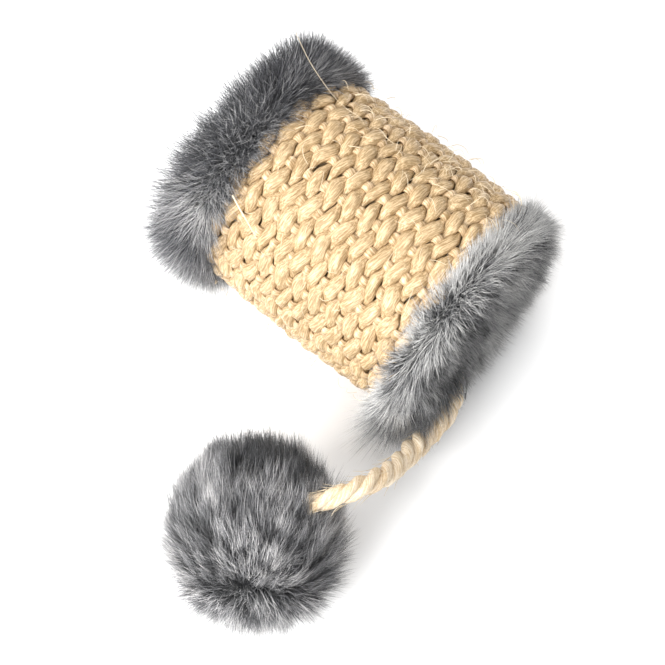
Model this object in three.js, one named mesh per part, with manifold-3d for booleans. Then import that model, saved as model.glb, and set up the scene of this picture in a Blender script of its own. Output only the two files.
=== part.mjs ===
import * as THREE from 'three';
import { mergeVertices } from 'three/addons/utils/BufferGeometryUtils.js';
import Module from 'manifold-3d';

// Barrel cat toy, in millimetres, +Z up. A card tube lies on its side along X. A woven sisal mat
// covers its middle and fur covers both ends. A short rope leaves the +X end and holds a fur ball.

// Clearance between pieces that touch
const seat_gap = 0.3;
// How far a cutting solid runs past the surface that it cuts
const overrun = 4;

// Card tube and its two end discs
const tube_length = 80;
const tube_radius = 30;
const tube_wall = 2;
const disc_thickness = 3;

// How much of the tube's length each fur band covers. The mat covers the rest.
const plain_band_width = 10;
const rope_band_width = 5;

// Woven sisal mat round the tube
const mat_thickness = 1.6;
const float_height = 1.7;
const mat_crown = 0.9;
const weft_pitch = 2.95;
const warp_pitch = 7;
const mat_seam_gap = 0.8;
// How full the floats' wave is, and how high the mat stands between wefts and where a warp shows
const wave_power = 0.6;
const between_share = 0.6;
const warp_share = 0.35;

// Fur cloth: its backing, and the length of the pile in each place
const cloth_thickness = 1.2;
const plain_band_pile = 8;
const rope_band_pile = 6.6;
const cap_pile = 6.5;
const ball_pile = 6.4;
// Thickness of the bands' pile where the barrel's weight presses it flat on the floor
const pressed_pile = 4.5;
// How far the bands' pile leans over the mat's edge
const pile_overlap = 2;
// How far up the band's pile the seam with the end panel rises
const seam_share = 0.7;
// Outline of a band's pile: share of the band's width from its lip, share of the pile's length
const band_outline_shares = [[0.82, 0.9], [0.5, 1], [0.2, 0.88]];
const lip_share = 0.2;
// Outline of an end panel's pile: share of the pile's length, share of the panel's radius
const panel_outline_shares = [[0.88, 0.88], [1, 0.55], [1, 0]];

// Sisal rope
const rope_radius = 3.1;
const rope_sides = 10;
const rope_step = 5;
const knot_turns = 2;
// Clearance of the furrow that the rope lies in, across the pile of the rope end
const furrow_gap = 0.4;

// Fur ball: its stuffing, its place along X and Y from the middle of the barrel's rope end, and
// the flat it rests on
const filling_radius = 18.5;
const ball_from_end = [-9.5, -83.1];
// Where the rope leaves its end disc: across and up from the disc's middle, over the disc's radius
const hole_shares = [-0.3177, -0.5848];
// Where the rope enters the ball: its end from the ball's middle, over the cover cloth's radius
const neck_shares = [0.4, 0.55, 0.735];
const ball_flat_depth = 0.5;
// Thread wound round the neck of the ball's cover
const thread_thickness = 0.9;
const thread_turns = 2;
// The pile parts round the rope in a small funnel
const funnel_mouth_radius = 5.4;

// Middle of the rope from its hole in the barrel's end to the ball, chosen along the photographed
// curve. It is measured from the middle of the card tube's rope end.
const rope_route = [
  [0, -8.8, -16.2],
  [3.6, -12.3, -16.6],
  [6.6, -17.2, -16.7],
  [8.3, -23.1, -15.8],
  [8.5, -29.1, -13.9],
  [8.7, -35, -11.1],
  [9, -42.8, -5.6],
  [9.2, -48.1, -0.9],
  [8.7, -52.8, 3.6],
  [7.7, -56.7, 6.6],
  [6, -61.4, 8.6],
  [3.9, -65.4, 8.8],
  [1.4, -68.9, 7.5],
  [-0.4, -70.9, 5.9],
  [-1.5, -72.1, 4.6],
];

// Facets round the barrel, round the ball and along a curved outline
const barrel_facets = 36;
const ball_facets = 26;
const filling_facets = 20;
const outline_facets = 8;
const knot_facets = 12;
const facets_per_turn = 4;
const facets_per_float = 6;

const half_tube = tube_length / 2;
// Height of the tube's axis above the floor
const axis_height = tube_radius + seat_gap + cloth_thickness + pressed_pile;
const mat_width = tube_length - plain_band_width - rope_band_width;
const half_mat = mat_width / 2;
// How far the mat's middle lies from the tube's, towards the rope end
const mat_offset = (plain_band_width - rope_band_width) / 2;
const mat_inner_radius = tube_radius + seat_gap;
const tube_bore = tube_radius - tube_wall;
const disc_radius = tube_bore - seat_gap;
const end_face = half_tube + seat_gap;
const cover_bore = filling_radius + seat_gap;
const cover_skin = cover_bore + cloth_thickness;
const ball_radius = cover_skin + ball_pile;
const ball_height = ball_radius - ball_flat_depth;
// Vertices nearer than this are one
const same_place = seat_gap / 1000;

const sisal = { color: 0xe0c88c, roughness: 0.9, metalness: 0 };
const card = { color: 0xb08d62, roughness: 0.95, metalness: 0 };
const plain_fur = { color: 0x4d525c, roughness: 1, metalness: 0 };
const rope_end_fur = { color: 0x777b84, roughness: 1, metalness: 0 };
const ball_fur = { color: 0x63666c, roughness: 1, metalness: 0 };
const wadding = { color: 0xe9e7e2, roughness: 1, metalness: 0 };
const thread = { color: 0x2e3036, roughness: 0.8, metalness: 0 };

const wasm = await Module();
wasm.setup();

function piece(name, geometry, finish) {
  const mesh = new THREE.Mesh(geometry, new THREE.MeshStandardMaterial(finish));
  mesh.name = name;
  return mesh;
}

function as_solid(geometry) {
  const bare = geometry.clone();
  bare.deleteAttribute('normal');
  bare.deleteAttribute('uv');
  const merged = mergeVertices(bare, same_place);
  return new wasm.Manifold(new wasm.Mesh({
    numProp: 3,
    vertProperties: new Float32Array(merged.attributes.position.array),
    triVerts: new Uint32Array(merged.index.array),
  }));
}

function as_geometry(solid) {
  const mesh = solid.getMesh();
  const geometry = new THREE.BufferGeometry();
  geometry.setAttribute('position', new THREE.BufferAttribute(mesh.vertProperties, 3));
  geometry.setIndex(new THREE.BufferAttribute(mesh.triVerts, 1));
  geometry.computeVertexNormals();
  return geometry;
}

function cut(geometry, cutters) {
  let solid = as_solid(geometry);
  for (const cutter of cutters) {
    solid = solid.subtract(as_solid(cutter));
  }
  return as_geometry(solid);
}

// A profile of [along, radius] points turned round the X axis
function turned(profile, facets) {
  const points = profile.map(([along, radius]) => new THREE.Vector2(radius, along));
  return new THREE.LatheGeometry(points, facets).rotateZ(-Math.PI / 2);
}

// Points of a smooth outline through a few chosen ones
function smooth(points, count) {
  const curve = new THREE.SplineCurve(points.map(([x, y]) => new THREE.Vector2(x, y)));
  return curve.getPoints(count).map((point) => [point.x, point.y]);
}

function at_other_end(geometry) {
  return geometry.rotateZ(Math.PI);
}

// Radius of the mat's surface between its floats' feet and their tops. rise goes from 0 to 1.
function mat_radius(x, rise) {
  const crown = mat_crown * (1 - (x / half_mat) ** 2);
  return mat_inner_radius + mat_thickness + float_height * rise + crown;
}

// The block under the floor that flattens whatever rests on it
function floor_block(from_z) {
  const size = 2 * (tube_length + axis_height);
  return new THREE.BoxGeometry(size, size, axis_height).translate(0, 0, from_z - axis_height / 2);
}

function tube() {
  return turned([
    [-half_tube, tube_bore],
    [-half_tube, tube_radius],
    [half_tube, tube_radius],
    [half_tube, tube_bore],
    [-half_tube, tube_bore],
  ], barrel_facets);
}

function disc() {
  return turned([
    [half_tube - disc_thickness, 0],
    [half_tube - disc_thickness, disc_radius],
    [half_tube, disc_radius],
    [half_tube, 0],
  ], barrel_facets);
}

// The mat is a plain weave. Each weft runs round the barrel and floats over every second warp, and
// its neighbours float over the warps between, so the floats stand in a brick pattern.
function woven_mat() {
  const wefts = Math.round(mat_width / weft_pitch);
  const pitch = mat_width / wefts;
  const floats = Math.round(Math.PI * mat_radius(0, 1) / warp_pitch);
  const seam_angle = mat_seam_gap / mat_inner_radius;
  const turn = 2 * Math.PI - seam_angle;
  const stations = floats * facets_per_float;

  const loops = [];
  for (let j = 0; j <= stations; j += 1) {
    const phase = 2 * Math.PI * j / facets_per_float;
    const loop = [[-half_mat, mat_inner_radius]];
    for (let i = 0; i <= 2 * wefts; i += 1) {
      const x = -half_mat + i * pitch / 2;
      const weft = (i - 1) / 2;
      const wave = Math.cos(phase + Math.PI * Math.floor(weft));
      let rise = between_share * Math.abs(wave) ** wave_power;
      if (i % 2 === 1) {
        rise = wave > 0 ? wave ** wave_power : -wave * warp_share;
      }
      loop.push([x, mat_radius(x, rise)]);
    }
    loop.push([half_mat, mat_inner_radius]);
    loops.push(loop);
  }

  const around = loops[0].length;
  const places = [];
  loops.forEach((loop, j) => {
    const angle = -Math.PI / 2 + seam_angle / 2 + turn * j / stations;
    for (const [x, radius] of loop) {
      places.push(x, radius * Math.cos(angle), radius * Math.sin(angle));
    }
  });
  const corners = [];
  for (let j = 0; j < stations; j += 1) {
    for (let i = 0; i < around; i += 1) {
      const a = j * around + i;
      const b = j * around + (i + 1) % around;
      const c = a + around;
      const d = b + around;
      corners.push(a, d, b, a, c, d);
    }
  }
  const edge_shape = loops[0].map(([x, radius]) => new THREE.Vector2(x, radius));
  const edge = THREE.ShapeUtils.triangulateShape(edge_shape, []);
  const last = stations * around;
  for (const [a, b, c] of edge) {
    corners.push(a, c, b);
    corners.push(last + a, last + b, last + c);
  }
  const geometry = new THREE.BufferGeometry();
  geometry.setAttribute('position', new THREE.Float32BufferAttribute(places, 3));
  geometry.setIndex(corners);
  geometry.computeVertexNormals();
  return geometry;
}

// Where a band's pile meets the end panel's: a cone that leans out from the tube's corner
function seam_points(pile) {
  const rise = seam_share * pile;
  return {
    foot: [end_face, mat_inner_radius],
    top: [end_face + rise, mat_inner_radius + cloth_thickness + rise],
  };
}

// Fur that rests on the floor. The cutters clear whatever lies across its pile.
function rested(profile, cutters) {
  return cut(turned(profile, barrel_facets), [floor_block(-axis_height), ...cutters]);
}

// A band of fur cloth from the mat's edge to the tube's end, with its pile leaning over the mat
function fur_band(pile, band_width, cutters) {
  const mat_edge = half_tube - band_width;
  const inner_edge = mat_edge + seat_gap;
  const lip = mat_edge - pile_overlap;
  const lip_radius = mat_radius(half_mat - pile_overlap, 1) + seat_gap;
  const cloth_radius = mat_inner_radius + cloth_thickness;
  const seam = seam_points(pile);
  const width = seam.top[0] - lip;
  const outside = smooth([
    seam.top,
    ...band_outline_shares.map(([across, up]) => [lip + across * width, cloth_radius + up * pile]),
    [lip, lip_radius + lip_share * pile],
  ], outline_facets);
  const profile = [
    [inner_edge, mat_inner_radius],
    seam.foot,
    ...outside,
    [lip, lip_radius],
    [inner_edge, lip_radius],
    [inner_edge, mat_inner_radius],
  ];
  return rested(profile.reverse(), cutters);
}

// The round fur panel over one end, crowned by its pile
function fur_cap(band_pile, cutters) {
  const seam = seam_points(band_pile);
  const radius = seam.foot[1] - 2 * seat_gap;
  const cloth_face = end_face + cloth_thickness;
  const outside = smooth([
    [seam.top[0] + seat_gap, seam.top[1] - seat_gap],
    ...panel_outline_shares.map(([up, out]) => [cloth_face + up * cap_pile, out * radius]),
  ], outline_facets);
  return rested([[end_face, 0], [end_face, radius], ...outside], cutters);
}

const end_middle = new THREE.Vector3(end_face, 0, axis_height);
const ball_middle = new THREE.Vector3(
  end_face + ball_from_end[0],
  ball_from_end[1],
  ball_height,
);

// The rope's ends keep their places in the disc and on the ball, and its route gives way to them
const hole = new THREE.Vector3(0, ...hole_shares).multiplyScalar(disc_radius);
const neck = new THREE.Vector3(...neck_shares).multiplyScalar(cover_skin).add(ball_middle);
const route_points = rope_route.map(([x, y, z]) => new THREE.Vector3(x, y, z));
const last_point = rope_route.length - 1;
const give_at_hole = hole.sub(route_points[0]);
const give_at_neck = neck.sub(end_middle).sub(route_points[last_point]);
route_points.forEach((point, i) => {
  const share = i / last_point;
  point.addScaledVector(give_at_hole, (1 - share) ** 2);
  point.addScaledVector(give_at_neck, share ** 2);
});
const route = new THREE.CatmullRomCurve3(route_points, false, 'centripetal');

function round_section(radius, sides) {
  const points = [];
  for (let k = 0; k < sides; k += 1) {
    const angle = 2 * Math.PI * k / sides;
    points.push(new THREE.Vector2(radius * Math.cos(angle), radius * Math.sin(angle)));
  }
  return new THREE.Shape(points);
}

function tube_along(curve, radius) {
  return new THREE.ExtrudeGeometry(round_section(radius, rope_sides), {
    steps: Math.round(curve.getLength() / rope_step),
    bevelEnabled: false,
    extrudePath: curve,
  });
}

// The rope's two ends, and the directions from them into the pieces that hold them
const start_point = route.getPoint(0);
const start_inward = route.getTangent(0).negate();
const end_point = route.getPoint(1);
const end_inward = route.getTangent(1);

// Turns a geometry made along +X so that it starts at a point and runs along a direction
function aimed(geometry, point, direction) {
  const turn = new THREE.Quaternion().setFromUnitVectors(new THREE.Vector3(1, 0, 0), direction);
  return geometry.applyQuaternion(turn).translate(point.x, point.y, point.z);
}

// Outline of turns wound side by side, each a half circle standing on the radius given
function round_turns(from, turns, radius, foot) {
  const points = [[from, foot]];
  for (let t = 0; t < turns; t += 1) {
    for (let k = 1; k <= facets_per_turn; k += 1) {
      const angle = Math.PI * k / facets_per_turn;
      const along = from + radius * (1 + 2 * t - Math.cos(angle));
      points.push([along, foot + radius * Math.sin(angle)]);
    }
  }
  return points;
}

// The rope's end: a short straight stub, two turns of rope drawn tight, and a cut tail
function knotted_end(stub) {
  const back = stub + 2 * knot_turns * rope_radius;
  const end = back + rope_radius;
  return turned([
    [seat_gap, 0],
    [seat_gap, rope_radius],
    [stub, rope_radius],
    ...round_turns(stub, knot_turns, rope_radius, 2 * rope_radius),
    [back, rope_radius],
    [end, rope_radius],
    [end, 0],
  ], knot_facets);
}

function straight_rod(radius, from, to) {
  return turned([[from, 0], [from, radius], [to, radius], [to, 0]], knot_facets);
}

// Barrel, with the tube's axis as X
const barrel = new THREE.Group();
barrel.position.z = axis_height;

const rope_base = new THREE.Vector3(end_face, 0, 0);
const rope_start = start_point.clone().add(rope_base);

// The rope leaves the end disc at a slant, so its knot sits far enough back to clear the disc
const slant = Math.acos(-start_inward.x);
const knot_radius = 3 * rope_radius;
const knot_back = disc_thickness + 2 * seat_gap + knot_radius * Math.sin(slant);
const anchor_stub = knot_back / Math.cos(slant);
const rope_hole = aimed(
  straight_rod(rope_radius + seat_gap, -overrun, anchor_stub),
  rope_start,
  start_inward,
);
const furrow = tube_along(route, rope_radius + furrow_gap).translate(...rope_base.toArray());

barrel.add(piece('core_tube', tube(), card));
barrel.add(piece('plain_end_disc', at_other_end(disc()), card));
barrel.add(piece('rope_end_disc', cut(disc(), [rope_hole]), card));
barrel.add(piece('sisal_sleeve', woven_mat().translate(mat_offset, 0, 0), sisal));
barrel.add(piece(
  'plain_end_fur_band',
  at_other_end(fur_band(plain_band_pile, plain_band_width, [])),
  plain_fur,
));
barrel.add(piece(
  'rope_end_fur_band',
  fur_band(rope_band_pile, rope_band_width, [furrow]),
  rope_end_fur,
));
barrel.add(piece(
  'plain_end_fur_cap',
  at_other_end(fur_cap(plain_band_pile, [])),
  plain_fur,
));
barrel.add(piece(
  'rope_end_fur_cap',
  fur_cap(rope_band_pile, [rope_hole, furrow]),
  rope_end_fur,
));
barrel.add(piece(
  'rope_anchor_knot',
  aimed(knotted_end(anchor_stub), rope_start, start_inward),
  sisal,
));

const rope = piece('rope', tube_along(route, rope_radius), sisal);
rope.position.copy(end_middle);

// Ball. Its cover is a hollow ball of fur cloth, open only where the rope goes in.
function sphere(radius, facets) {
  return new THREE.SphereGeometry(radius, facets, facets / 2).rotateX(Math.PI / 2);
}

// How deep the ball's middle lies along the rope's end direction, and how far to its side
const end_from_middle = end_point.clone().add(rope.position).sub(ball_middle);
const middle_depth = -end_from_middle.dot(end_inward);
const middle_aside = end_from_middle.clone().addScaledVector(end_inward, middle_depth).length();

// Places along that direction, measured from the rope's end: the thread lies on the cloth
const skin_along = middle_depth - cover_skin;
const pile_along = middle_depth - ball_radius;
const thread_radius = rope_radius + seat_gap;
const thread_outer = thread_radius + thread_thickness;
const thread_back = skin_along - seat_gap;
const thread_front = thread_back - thread_turns * thread_thickness;
// The knot sits as near under the cover as its first turn fits
const turn_reach = filling_radius - rope_radius;
const turn_aside = 2 * rope_radius + middle_aside;
const ball_stub = middle_depth - rope_radius - Math.sqrt(turn_reach ** 2 - turn_aside ** 2);

const neck_bore = aimed(
  straight_rod(rope_radius + seat_gap, pile_along - overrun, ball_stub),
  end_from_middle,
  end_inward,
);
const funnel = aimed(turned([
  [pile_along - overrun, 0],
  [pile_along - overrun, funnel_mouth_radius + overrun],
  [pile_along, funnel_mouth_radius],
  [thread_front - seat_gap, thread_outer + seat_gap],
  [skin_along, thread_outer + seat_gap],
  [skin_along, 0],
], knot_facets), end_from_middle, end_inward);

function ball_cover() {
  return cut(sphere(ball_radius, ball_facets), [
    sphere(cover_bore, filling_facets),
    neck_bore,
    funnel,
    floor_block(-ball_height),
  ]);
}

function ball_knot() {
  return aimed(knotted_end(ball_stub), end_from_middle, end_inward);
}

function filling() {
  const pocket_front = ball_stub - seat_gap;
  const pocket_back = ball_stub + (2 * knot_turns + 1) * rope_radius + seat_gap;
  const pocket = aimed(turned([
    [pocket_front, 0],
    [pocket_front, knot_radius + seat_gap],
    [pocket_back, knot_radius + seat_gap],
    [pocket_back, 0],
  ], knot_facets), end_from_middle, end_inward);
  return cut(sphere(filling_radius, filling_facets), [neck_bore, pocket]);
}

function neck_thread() {
  const half = thread_thickness / 2;
  return aimed(turned([
    [thread_front, thread_radius],
    ...round_turns(thread_front, thread_turns, half, thread_outer - half),
    [thread_back, thread_radius],
    [thread_front, thread_radius],
  ], knot_facets), end_from_middle, end_inward);
}

const ball = new THREE.Group();
ball.position.copy(ball_middle);
ball.add(piece('ball_fur_cover', ball_cover(), ball_fur));
ball.add(piece('ball_filling', filling(), wadding));
ball.add(piece('ball_knot', ball_knot(), sisal));
ball.add(piece('ball_neck_thread', neck_thread(), thread));

// The toy's origin is on the floor, under the middle of the barrel and ball together
const toy = new THREE.Group();
toy.add(barrel, ball);
const reach = new THREE.Box3().setFromObject(toy, true);
toy.add(rope);
toy.position.set(-(reach.min.x + reach.max.x) / 2, -(reach.min.y + reach.max.y) / 2, 0);

const part = new THREE.Group();
part.add(toy);
export default part;
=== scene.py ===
import math

import bpy
import numpy as np
from mathutils import Euler, Matrix, Vector


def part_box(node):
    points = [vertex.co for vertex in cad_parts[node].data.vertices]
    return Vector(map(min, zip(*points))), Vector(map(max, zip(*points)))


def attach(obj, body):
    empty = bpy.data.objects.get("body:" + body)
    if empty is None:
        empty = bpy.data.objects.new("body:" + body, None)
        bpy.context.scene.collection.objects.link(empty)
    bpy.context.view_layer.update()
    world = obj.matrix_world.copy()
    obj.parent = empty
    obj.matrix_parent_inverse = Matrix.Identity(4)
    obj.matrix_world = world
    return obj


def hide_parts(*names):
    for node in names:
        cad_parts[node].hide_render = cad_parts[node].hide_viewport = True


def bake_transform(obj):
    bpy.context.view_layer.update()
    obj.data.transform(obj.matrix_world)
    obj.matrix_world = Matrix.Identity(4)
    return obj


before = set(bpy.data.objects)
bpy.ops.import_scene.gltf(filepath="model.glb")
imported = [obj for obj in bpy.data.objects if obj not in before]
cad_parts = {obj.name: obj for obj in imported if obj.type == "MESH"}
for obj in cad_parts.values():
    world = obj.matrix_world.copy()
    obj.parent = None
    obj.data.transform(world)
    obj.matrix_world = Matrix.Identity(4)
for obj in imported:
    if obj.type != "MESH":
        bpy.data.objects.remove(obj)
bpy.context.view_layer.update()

MM = 0.001


# The view and the studio. The toy lies on a white table, seen from high above its near side and a
# little from its rope end. A broad soft light stands low on the near side.
tube_low, tube_high = (np.array(corner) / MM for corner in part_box("core_tube"))
barrel_axis = (tube_low + tube_high) / 2

view_azimuth = 39.03
view_elevation = 68.8
view_roll = 0.69
view_angle = 23.76
camera_from_barrel = (112, -150.91, 408.88)

camera_lens = bpy.data.cameras.new("view")
camera_lens.angle = math.radians(view_angle)
camera = bpy.data.objects.new("view", camera_lens)
camera.location = MM * (barrel_axis + camera_from_barrel)
facing = Euler((math.radians(90 - view_elevation), 0, math.radians(view_azimuth))).to_matrix()
rolled = Matrix.Rotation(math.radians(view_roll), 3, "Z")
camera.rotation_euler = (facing @ rolled).to_euler()
bpy.context.collection.objects.link(camera)
bpy.context.scene.camera = camera
bpy.context.scene.view_settings.view_transform = "Standard"


def soft_light(name, place, aim, size, watts):
    """A square lamp in metres, turned towards a point"""
    lamp = bpy.data.lights.new(name, "AREA")
    lamp.size = size
    lamp.energy = watts
    made = bpy.data.objects.new(name, lamp)
    made.location = place
    made.rotation_euler = (Vector(aim) - Vector(place)).to_track_quat("-Z", "Y").to_euler()
    bpy.context.collection.objects.link(made)


soft_light("near_lamp", place=(-0.12, -0.62, 0.5), aim=(0, 0, 0.03), size=0.6, watts=13)
soft_light("top_lamp", place=(-0.25, 0.1, 0.9), aim=(0, 0, 0), size=0.9, watts=7)

daylight = 0.64
studio = bpy.data.worlds.new("studio")
studio.use_nodes = True
surroundings = studio.node_tree.nodes["Background"]
surroundings.inputs["Color"].default_value = (1, 1, 1, 1)
surroundings.inputs["Strength"].default_value = daylight
bpy.context.scene.world = studio


def new_finish(name, roughness, **settings):
    """A material with a bare Principled shader. Returns it, its tree and the shader."""
    finish = bpy.data.materials.new(name)
    finish.use_nodes = True
    shader = finish.node_tree.nodes["Principled BSDF"]
    shader.inputs["Roughness"].default_value = roughness
    for key, value in settings.items():
        shader.inputs[key.replace("_", " ")].default_value = value
    return finish, finish.node_tree, shader


table_reach = 3
table_finish, _, _ = new_finish("table_top", 0.9, Base_Color=(0.95, 0.95, 0.95, 1))
table_mesh = bpy.data.meshes.new("table_top")
table_mesh.from_pydata(
    [(x * table_reach, y * table_reach, 0) for x, y in ((-1, -1), (1, -1), (1, 1), (-1, 1))],
    [],
    [(0, 1, 2, 3)],
)
table_mesh.materials.append(table_finish)
table_top = bpy.data.objects.new("table_top", table_mesh)
bpy.context.collection.objects.link(table_top)


# Rope. Three strands of sisal laid up into a 6 mm rope. It leaves the hole in the barrel's end disc,
# runs forward round the fur and over it into the ball. Both ends are knotted inside.
def arithmetic(operation, swapped=False):
    """What a sign does between a wire and the wire or value on its right, or swapped, on its left"""
    if swapped:
        return lambda self, other: sum_of(operation, other, self)
    return lambda self, other: sum_of(operation, self, other)


class Wire:
    """A node's output. Sums written with it become nodes, in geometry and in shader trees alike."""

    def __init__(self, socket):
        self.socket = socket
        self.tree = socket.id_data

    __add__, __radd__ = arithmetic("ADD"), arithmetic("ADD", True)
    __sub__, __rsub__ = arithmetic("SUBTRACT"), arithmetic("SUBTRACT", True)
    __mul__, __rmul__ = arithmetic("MULTIPLY"), arithmetic("MULTIPLY")
    __truediv__, __rtruediv__ = arithmetic("DIVIDE"), arithmetic("DIVIDE", True)
    __pow__ = arithmetic("POWER")


def is_vector(value):
    if isinstance(value, Wire):
        return value.socket.type in ("VECTOR", "RGBA")
    return not isinstance(value, (int, float))


def node(tree, kind, feeds=(), out=0, **settings):
    """Adds a node, fills its inputs by name or number, and returns one of its outputs"""
    made = tree.nodes.new(kind)
    for name, value in settings.items():
        setattr(made, name, value)
    for key, value in dict(feeds).items():
        if isinstance(value, Wire):
            tree.links.new(value.socket, made.inputs[key])
        else:
            made.inputs[key].default_value = value
    return Wire(made.outputs[out])


def sum_of(operation, first, second=0.0):
    """One Math node, or Vector Math where either value is a vector"""
    tree = first.tree if isinstance(first, Wire) else second.tree
    if not (is_vector(first) or is_vector(second)):
        return node(tree, "ShaderNodeMath", {0: first, 1: second}, operation=operation)
    if operation == "MULTIPLY" and not (is_vector(first) and is_vector(second)):
        vector, times = (first, second) if is_vector(first) else (second, first)
        return node(tree, "ShaderNodeVectorMath", {0: vector, 3: times}, operation="SCALE")
    return node(tree, "ShaderNodeVectorMath", {0: first, 1: second}, operation=operation)


def unit(vector):
    return sum_of("NORMALIZE", vector, (0, 0, 0))


def sine(angle):
    return sum_of("SINE", angle)


def cosine(angle):
    return sum_of("COSINE", angle)


def at_least(value, least):
    return sum_of("MAXIMUM", value, least)


def at_most(value, most):
    return sum_of("MINIMUM", value, most)


def joined(tree, x, y, z):
    return node(tree, "ShaderNodeCombineXYZ", {0: x, 1: y, 2: z})


def parts(vector):
    split = node(vector.tree, "ShaderNodeSeparateXYZ", {0: vector}).socket.node
    return [Wire(output) for output in split.outputs]


def ease(value, low, high):
    """Goes smoothly from 0 to 1 while the value goes from low to high"""
    feeds = {0: value, 1: low, 2: high}
    return node(value.tree, "ShaderNodeMapRange", feeds, interpolation_type="SMOOTHSTEP")


def noise(vector, scale, detail=2.0, roughness=0.5, out=0):
    feeds = {"Vector": vector, "Scale": scale, "Detail": detail, "Roughness": roughness}
    return node(vector.tree, "ShaderNodeTexNoise", feeds, out=out)


def kept(geometry, name, value):
    """Stores a value on a geometry under a name"""
    kind = "FLOAT_VECTOR" if is_vector(value) else "FLOAT"
    feeds = {"Geometry": geometry, "Name": name, "Value": value}
    return node(geometry.tree, "GeometryNodeStoreNamedAttribute", feeds, data_type=kind)


def recalled(tree, name, kind="FLOAT"):
    return node(tree, "GeometryNodeInputNamedAttribute", {"Name": name}, data_type=kind)


def placed(geometry, position):
    return node(geometry.tree, "GeometryNodeSetPosition", {"Geometry": geometry, "Position": position})


def new_group(name, kind, inputs, outputs):
    """An empty tree of nodes with named inputs and outputs. Returns it and its inputs by name."""
    group = bpy.data.node_groups.new(name, kind)
    for in_out, sockets in (("OUTPUT", outputs), ("INPUT", inputs)):
        for socket_name, socket in sockets.items():
            group.interface.new_socket(socket_name, in_out=in_out, socket_type="NodeSocket" + socket)
    entry = group.nodes.new("NodeGroupInput")
    return group, {socket.name: Wire(socket) for socket in entry.outputs if socket.name}


def new_tree(name, inputs):
    """A geometry tree that changes one mesh into another"""
    mesh = {"Geometry": "Geometry"}
    return new_group(name, "GeometryNodeTree", {**mesh, **inputs}, mesh)


def close_group(group, results):
    leaving = group.nodes.new("NodeGroupOutput")
    for name, value in results.items():
        group.links.new(value.socket, leaving.inputs[name])


def close_tree(geometry, finish):
    """The last steps of each geometry tree: smooth shading, and its material"""
    smooth = node(geometry.tree, "GeometryNodeSetShadeSmooth", {0: geometry})
    dressed = node(geometry.tree, "GeometryNodeSetMaterial", {"Geometry": smooth, "Material": finish})
    close_group(geometry.tree, {"Geometry": dressed})


def made_by(tree, name, source, values):
    """Runs a tree on a source mesh and keeps the result as a plain mesh of its own"""
    base = bpy.data.objects.new("base", source)
    bpy.context.collection.objects.link(base)
    modifier = base.modifiers.new("maker", "NODES")
    modifier.node_group = tree
    for item in tree.interface.items_tree:
        if item.in_out == "INPUT" and item.name in values:
            modifier[item.identifier] = values[item.name]
    depsgraph = bpy.context.evaluated_depsgraph_get()
    grown = base.evaluated_get(depsgraph)
    mesh = bpy.data.meshes.new_from_object(grown, preserve_all_data_layers=True, depsgraph=depsgraph)
    bpy.data.objects.remove(base)
    mesh.name = name
    made = bpy.data.objects.new(name, mesh)
    bpy.context.collection.objects.link(made)
    return made


def attribute(tree, name, out="Vector"):
    return node(tree, "ShaderNodeAttribute", out=out, attribute_name=name)


def mixed(share, first, second):
    feeds = {0: share, 6: first, 7: second}
    return node(share.tree, "ShaderNodeMix", feeds, out=2, data_type="RGBA")


def use_group(tree, group, values):
    """Places a shader group in a material with its own values. Returns its outputs by name."""
    made = node(tree, "ShaderNodeGroup", values, node_tree=group).socket.node
    return {output.name: Wire(output) for output in made.outputs}


# Sisal's look: hard pale fibres side by side, straw coloured, with painted shade that makes it darker and
# redder in the furrows
sisal_fibres, given = new_group(
    "sisal_fibres", "ShaderNodeTree",
    {
        "Vector": "Vector", "Painted Furrow Shade": "Float", "Pale": "Color", "Straw": "Color", "Deep": "Color",
        "Fineness": "Float",
    },
    {"Color": "Color", "Height": "Float", "Roughness": "Float"},
)
fine = noise(given["Vector"], given["Fineness"], 3.0, 0.65)
broad = noise(given["Vector"], given["Fineness"] * 0.22)
streak = ease(fine, 0.41, 0.6)
patch = ease(broad, 0.35, 0.68)
pale_share = streak * 0.65 + patch * 0.35
body_colour = mixed(pale_share, given["Straw"], given["Pale"])
# The deep colour comes in mostly as painted shade in the furrows, and a little in the fibres' darker streaks
deep_share = at_most(at_least(given["Painted Furrow Shade"] * 0.85 + (1.0 - streak) * 0.16, 0.0), 1.0)
close_group(sisal_fibres, {
    "Color": mixed(deep_share, body_colour, given["Deep"]),
    "Height": fine * 0.7 + broad * 0.5,
    "Roughness": 0.33 + (1.0 - streak) * 0.3,
})

# The deep colour is mostly painted shade for furrows and hollows, and partly the darkest fibres' own tone
sisal_pale = (0.68, 0.5, 0.295, 1)
sisal_straw = (0.3, 0.19, 0.075, 1)
sisal_deep = (0.15, 0.08, 0.022, 1)


def dress(tree, shader, colour, height=None, bump=0.0):
    """Gives a shader its colour, and a height as bumps of a size in metres"""
    tree.links.new(colour.socket, shader.inputs["Base Color"])
    if height:
        raised = node(tree, "ShaderNodeBump", {"Height": height, "Distance": bump})
        tree.links.new(raised.socket, shader.inputs["Normal"])


def sisal_finish(name, fineness, bump, pale=sisal_pale, straw=sisal_straw, deep=sisal_deep, coordinates=None):
    """Sisal in its own tones, darkened by painted shade in its furrows where the mesh carries it. The fibres
    follow the mesh's own record of them, or a kind of coordinates.
    """
    finish, tree, shader = new_finish(name, 0.5, Specular_IOR_Level=0.7)
    if coordinates:
        where = node(tree, "ShaderNodeTexCoord", out=coordinates)
    else:
        where = attribute(tree, "fibre")
    look = use_group(tree, sisal_fibres, {
        "Vector": where, "Painted Furrow Shade": attribute(tree, "furrow", "Fac"),
        "Pale": pale, "Straw": straw, "Deep": deep, "Fineness": fineness,
    })
    tree.links.new(look["Roughness"].socket, shader.inputs["Roughness"])
    dress(tree, shader, look["Color"], look["Height"], bump)
    return finish


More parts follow.
